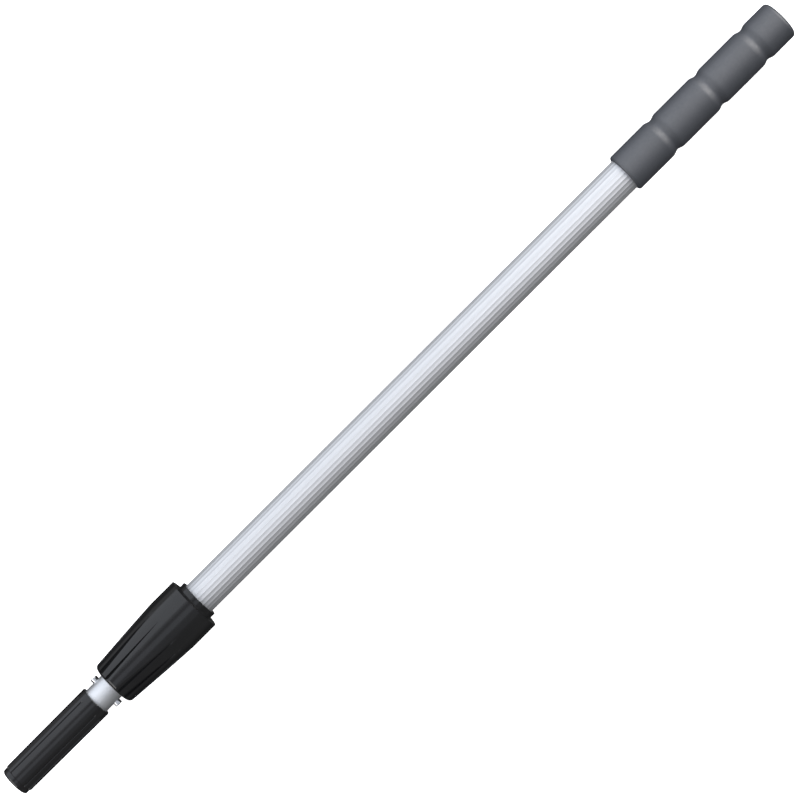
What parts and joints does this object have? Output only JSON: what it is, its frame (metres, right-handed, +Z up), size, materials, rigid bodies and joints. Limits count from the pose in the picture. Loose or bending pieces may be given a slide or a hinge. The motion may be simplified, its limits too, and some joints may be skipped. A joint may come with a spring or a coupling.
{
  "type": "extension pole",
  "caption": "Telescopic extension pole: fluted tube with a grooved rubber grip, sliding inner tube, tapered twist-lock nut and a plug-in tip with spring buttons.",
  "frame": {"origin": "under the middle of the pole's length, on the level of the lock nut's lowest line", "axes": "+X along the pole towards the butt end of the grip, so the tip points to -X; +Z up; the spring buttons stand out along +Y and -Y"},
  "size_m": [0.7596, 0.0426, 0.0426],
  "materials": {
    "grip_rubber": "matte, moulded, slate grey",
    "fluted_aluminium": "satin anodised, ribbed lengthwise",
    "plain_aluminium": "satin anodised",
    "black_plastic": "moulded, semi-gloss",
    "white_plastic": "low-friction moulded plastic",
    "steel": "plain dowel",
    "spring_steel": "flat strip",
    "bright_steel": "bright plated"
  },
  "bodies": {
    "outer_section": {"grip": "grip_rubber", "grip_end_plug": "white_plastic", "outer_tube": "fluted_aluminium", "collar": "black_plastic", "collar_pins": "steel"},
    "collet": {"collet": "white_plastic"},
    "lock_nut": {"lock_nut": "black_plastic"},
    "guide_bush": {"guide_bush": "white_plastic"},
    "inner_section": {"inner_tube": "plain_aluminium", "inner_end_plug": "white_plastic", "tip": "black_plastic", "tip_pins": "steel", "button_spring": "spring_steel"},
    "button_left": {"button_left": "bright_steel"},
    "button_right": {"button_right": "bright_steel"}
  },
  "joints": [
    {"name": "telescope", "type": "slide", "parent": "outer_section", "child": "guide_bush", "axis": [-1, 0, 0], "range_m": [0, 0.465]},
    {"name": "inner_spin", "type": "hinge", "parent": "guide_bush", "child": "inner_section", "pos_m": [0.26575, 0, 0.02128], "axis": [-1, 0, 0], "continuous": true},
    {"name": "nut_travel", "type": "slide", "parent": "outer_section", "child": "collet", "axis": [-1, 0, 0], "range_m": [0, 0.00225]},
    {"name": "nut_turn", "type": "hinge", "parent": "collet", "child": "lock_nut", "pos_m": [-0.24125, 0, 0.02128], "axis": [-1, 0, 0], "range_deg": [0, 270]},
    {"name": "button_left_press", "type": "slide", "parent": "inner_section", "child": "button_left", "axis": [0, 1, 0], "range_m": [0, 0.0028], "stiffness_N_per_m": 500, "springref_m": -0.002, "deforming": ["button_spring"]},
    {"name": "button_right_press", "type": "slide", "parent": "inner_section", "child": "button_right", "axis": [0, -1, 0], "range_m": [0, 0.0028], "stiffness_N_per_m": 500, "springref_m": -0.002, "deforming": ["button_spring"]}
  ],
  "couplings": [
    {"joint": "nut_travel", "follows": "nut_turn", "m_per_rad": 0.00047746}
  ]
}
